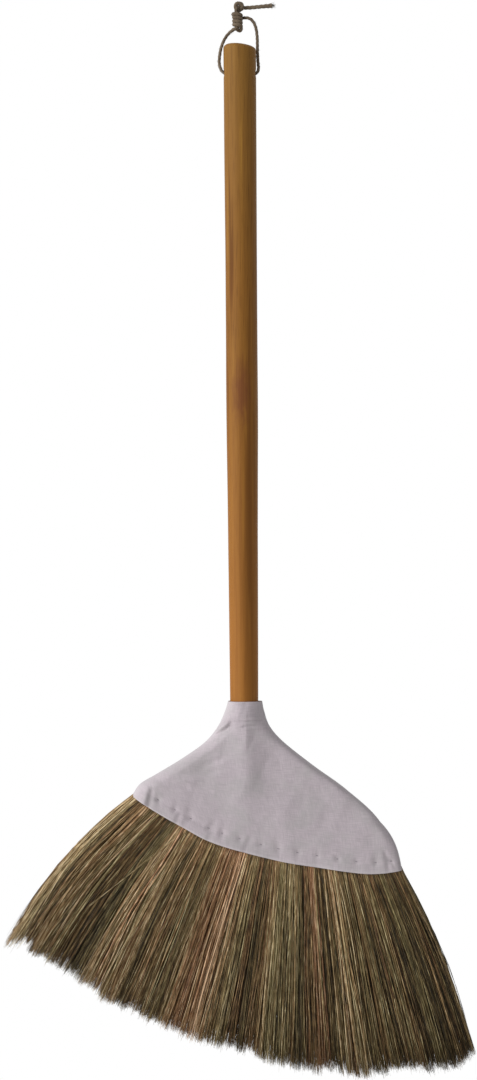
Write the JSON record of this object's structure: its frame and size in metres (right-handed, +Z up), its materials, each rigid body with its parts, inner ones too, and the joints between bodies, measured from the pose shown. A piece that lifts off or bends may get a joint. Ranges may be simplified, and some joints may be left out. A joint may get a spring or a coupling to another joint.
{
  "type": "straw broom",
  "caption": "Straw broom with a turned wooden handle, a slanted fan of straw bundles bound under a cotton cover, and a knotted cord loop to hang it by.",
  "frame": {"origin": "the point of the cord loop that bears on the hook it hangs on, at the under side of the cord", "axes": "+Z up along the hanging broom, -Y towards the viewer in front, +X to the viewer's right, where the fan is longer"},
  "size_m": [0.4555, 0.0386, 1.0383],
  "materials": {
    "varnished_wood": "satin",
    "twine": "matte",
    "white_cotton": "matte",
    "binding_cord": "matte",
    "straw_olive": "matte",
    "straw_tan": "matte",
    "straw_brown": "matte"
  },
  "bodies": {
    "loop": {"hanging_cord": "twine"},
    "broom": {"handle": "varnished_wood", "cover_front": "white_cotton", "cover_back": "white_cotton", "neck_binding": "binding_cord", "row_binding_upper": "binding_cord", "row_binding_lower": "binding_cord", "straw_bundle_01": "straw_olive", "straw_bundle_02": "straw_tan", "straw_bundle_03": "straw_brown", "straw_bundle_04": "straw_olive", "straw_bundle_05": "straw_tan", "straw_bundle_06": "straw_brown", "straw_bundle_07": "straw_olive", "straw_bundle_08": "straw_tan", "straw_bundle_09": "straw_brown", "straw_bundle_10": "straw_olive", "straw_bundle_11": "straw_tan", "straw_bundle_12": "straw_brown", "straw_bundle_13": "straw_olive", "straw_bundle_14": "straw_tan", "straw_bundle_15": "straw_brown", "straw_bundle_16": "straw_olive", "straw_bundle_17": "straw_tan", "straw_bundle_18": "straw_brown", "straw_bundle_19": "straw_olive", "straw_bundle_20": "straw_tan"}
  },
  "joints": [
    {"name": "broom_swing", "type": "hinge", "parent": "loop", "child": "broom", "pos_m": [-0.0074, 0, -0.0515], "axis": [1, 0, 0], "range_deg": [-110, 110]}
  ]
}
